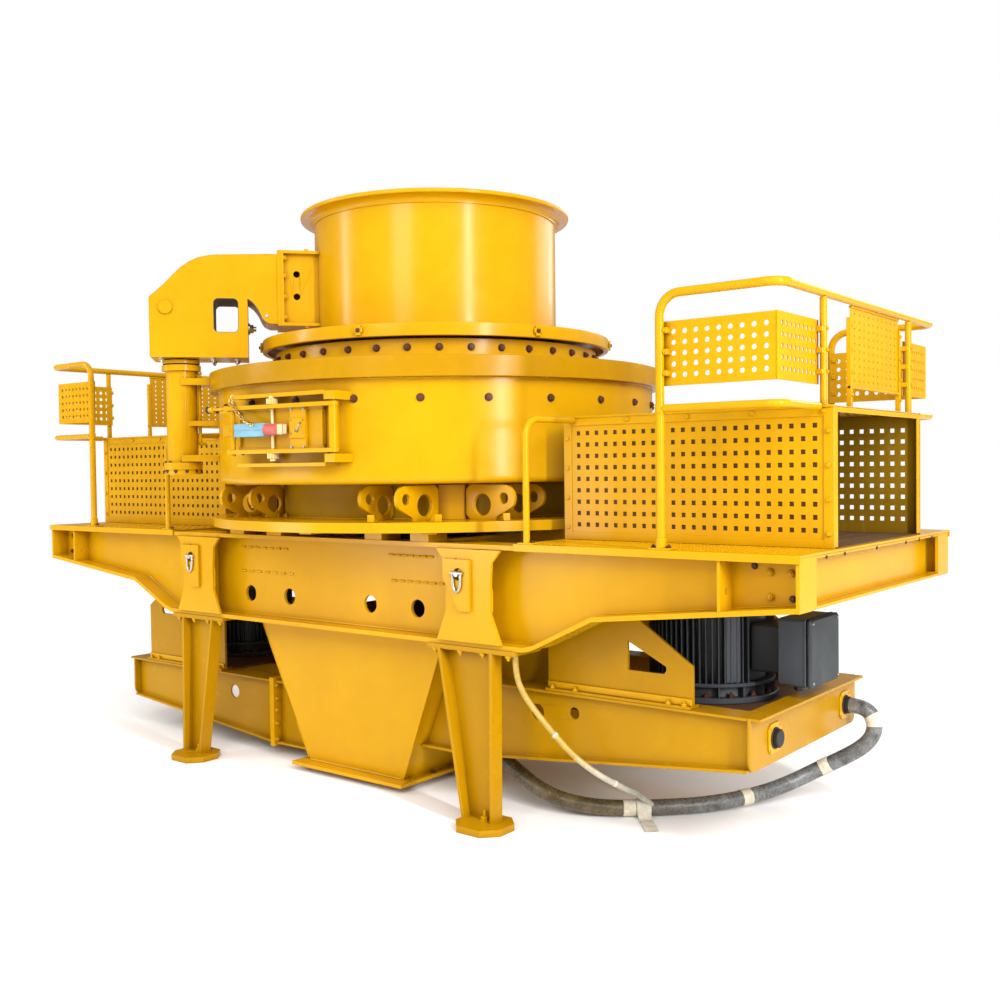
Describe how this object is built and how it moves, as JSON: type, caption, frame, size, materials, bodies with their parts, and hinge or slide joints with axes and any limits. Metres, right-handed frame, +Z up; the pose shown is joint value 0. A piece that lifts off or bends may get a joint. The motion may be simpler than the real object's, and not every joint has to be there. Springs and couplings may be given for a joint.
{
  "type": "impact crusher",
  "caption": "Vertical-shaft impact crusher: round crushing chamber with a swing-away feed hopper on a four-legged girder frame, railed end platforms and hanging drive motors.",
  "frame": {"origin": "on the ground under the vertical axis of the crushing chamber, midway between the four feet", "axes": "+X along the machine to the platform end nearest the camera, +Y to the back, +Z up"},
  "size_m": [4.88, 2.4585, 2.9],
  "materials": {
    "blue_plastic": "satin blue",
    "dark_paint": "satin dark grey enamel",
    "dark_steel": "dark unpainted",
    "hose_cover": "dusty grey wrap",
    "raw_steel": "machined and zinc plated",
    "red_plastic": "satin red",
    "thin_hose_cover": "yellow sleeve",
    "yellow_paint": "gloss yellow enamel"
  },
  "bodies": {
    "root": {"base_ring_plate": "yellow_paint", "bearing_housing": "dark_steel", "belt_guard": "yellow_paint", "cable_glands": "raw_steel", "chamber_body": "yellow_paint", "chamber_cover": "yellow_paint", "control_hose": "thin_hose_cover", "cover_bolt_ring": "yellow_paint", "cross_members": "yellow_paint", "deck_plates": "yellow_paint", "discharge_chute": "yellow_paint", "door_hinge_post": "yellow_paint", "door_surround": "yellow_paint", "drive_motors": "dark_paint", "end_channels": "yellow_paint", "frame_joint_plates": "yellow_paint", "grab_handles": "yellow_paint", "guard_rails": "yellow_paint", "hanger_plates": "yellow_paint", "hose_bundle": "hose_cover", "housing_lugs": "yellow_paint", "jib_column": "yellow_paint", "lifting_brackets": "yellow_paint", "lower_housing": "yellow_paint", "lower_rails": "yellow_paint", "main_girders": "yellow_paint", "motor_base_plates": "yellow_paint", "motor_frame_beams": "yellow_paint", "motor_frame_ends": "yellow_paint", "platform_sides": "yellow_paint", "platform_tops": "yellow_paint", "rail_panels": "yellow_paint", "rotor_drum": "dark_steel", "support_legs": "yellow_paint", "terminal_boxes": "dark_paint"},
    "ram": {"lift_ram": "dark_steel"},
    "jib": {"jib_arm": "yellow_paint", "hopper_bracket": "yellow_paint", "feed_hopper": "yellow_paint", "hopper_cover": "yellow_paint"},
    "door": {"door_leaf": "yellow_paint", "door_frame": "yellow_paint", "door_bolts": "raw_steel", "interlock_box": "blue_plastic", "interlock_plug": "red_plastic"}
  },
  "joints": [
    {"name": "lift_ram", "type": "slide", "parent": "root", "child": "ram", "axis": [0, 0, 1], "range_m": [0, 0.25]},
    {"name": "jib_swing", "type": "hinge", "parent": "ram", "child": "jib", "pos_m": [-0.86455, -1.03033, 2.1], "axis": [0, 0, -1], "range_deg": [0, 110]},
    {"name": "inspection_door", "type": "hinge", "parent": "root", "child": "door", "pos_m": [0.41789, -1.17371, 1.74], "axis": [0, 0, 1], "range_deg": [0, 110]}
  ]
}
